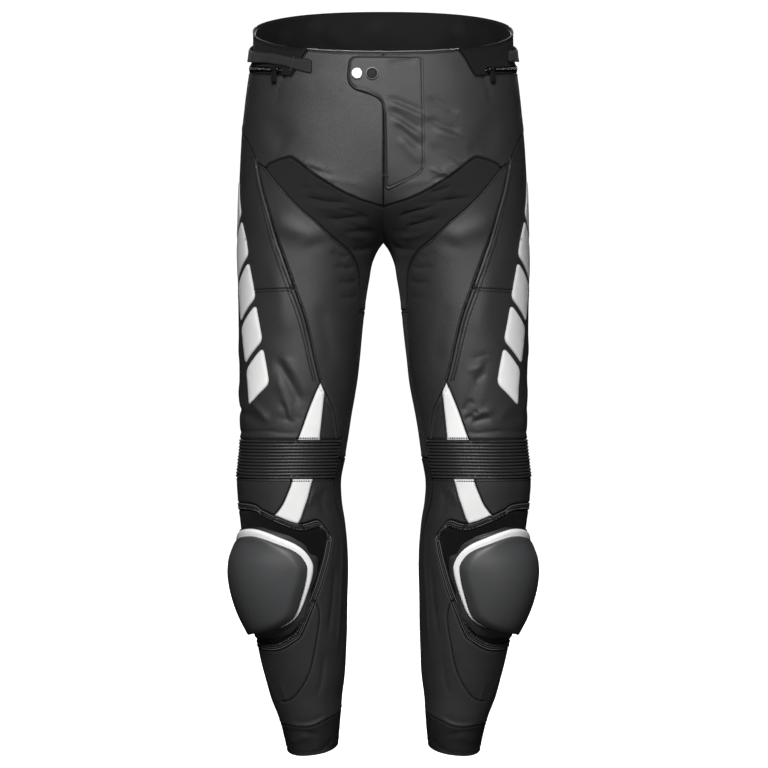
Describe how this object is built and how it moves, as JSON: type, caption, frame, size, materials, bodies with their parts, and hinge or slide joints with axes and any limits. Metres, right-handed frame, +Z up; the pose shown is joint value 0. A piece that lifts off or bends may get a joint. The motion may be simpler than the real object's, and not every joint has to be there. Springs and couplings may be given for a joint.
{
  "type": "motorcycle trousers",
  "caption": "Leather sports motorcycle trousers in their worn, hollow form: pre-bent legs, accordion knees, clipped-on knee sliders, stretch crotch, overlapping fly and zipped hips.",
  "frame": {"origin": "centre of the waist opening, where the wearer holds the trousers up", "axes": "+Z up, -Y the way the wearer looks, +X to the wearer's left"},
  "size_m": [0.4122, 0.2642, 1.0145],
  "materials": {
    "leather": "smooth black cowhide with a fine grain and a soft sheen",
    "white_leather": "smooth white cowhide",
    "stretch": "matt black elastic weave",
    "loop_pile": "black loop pile of a touch-and-close patch",
    "lining": "thin black polyester lining",
    "tape": "woven black zip and strap tape",
    "hard_plastic": "dark grey moulded plastic with a satin face",
    "white_plastic": "white moulded plastic",
    "bright_metal": "brushed nickel",
    "dark_metal": "black nickel"
  },
  "bodies": {
    "root": {"back_left": "leather", "back_right": "leather", "calf_left": "stretch", "calf_right": "stretch", "cuff_left": "leather", "cuff_right": "leather", "fly_shield": "leather", "front_left": "leather", "front_right": "leather", "gusset": "stretch", "hip_zip_left": "tape", "hip_zip_right": "tape", "inner_leg_left": "stretch", "inner_leg_right": "stretch", "knee_patch_left": "loop_pile", "knee_patch_right": "loop_pile", "knee_ribs_left": "leather", "knee_ribs_right": "leather", "knee_wedge_left": "leather", "knee_wedge_right": "leather", "patch_binding_left": "stretch", "patch_binding_right": "stretch", "shin_front_left": "leather", "shin_front_right": "leather", "shin_inner_left": "leather", "shin_inner_right": "leather", "shin_tongue_left": "leather", "shin_tongue_right": "leather", "shin_top_left": "leather", "shin_top_right": "leather", "side_waist_left": "stretch", "side_waist_right": "stretch", "slider_band_left": "white_plastic", "slider_band_right": "white_plastic", "slider_base_left": "hard_plastic", "slider_base_right": "hard_plastic", "slider_puck_left": "hard_plastic", "slider_puck_right": "hard_plastic", "snap_bright": "bright_metal", "snap_dark": "dark_metal", "strap_left": "tape", "strap_right": "tape", "stripe_shin_left": "white_leather", "stripe_shin_right": "white_leather", "stripe_thigh_left": "white_leather", "stripe_thigh_right": "white_leather", "thigh_front_left": "leather", "thigh_front_right": "leather", "thigh_lower_left": "leather", "thigh_lower_right": "leather", "thigh_upper_left": "leather", "thigh_upper_right": "leather", "waist_back": "stretch", "waist_lining": "lining", "zip_slider_left": "dark_metal", "zip_slider_right": "dark_metal"},
    "zip_pull_left": {"zip_pull_left": "dark_metal"},
    "zip_pull_right": {"zip_pull_right": "dark_metal"}
  },
  "joints": [
    {"name": "zip_pull_left_swing", "type": "hinge", "parent": "root", "child": "zip_pull_left", "pos_m": [0.14342, -0.08646, -0.06091], "axis": [-0.7911, -0.6117, 0], "range_deg": [-5, 150]},
    {"name": "zip_pull_right_swing", "type": "hinge", "parent": "root", "child": "zip_pull_right", "pos_m": [-0.14342, -0.08646, -0.06091], "axis": [-0.7911, 0.6117, 0], "range_deg": [-5, 150]}
  ]
}
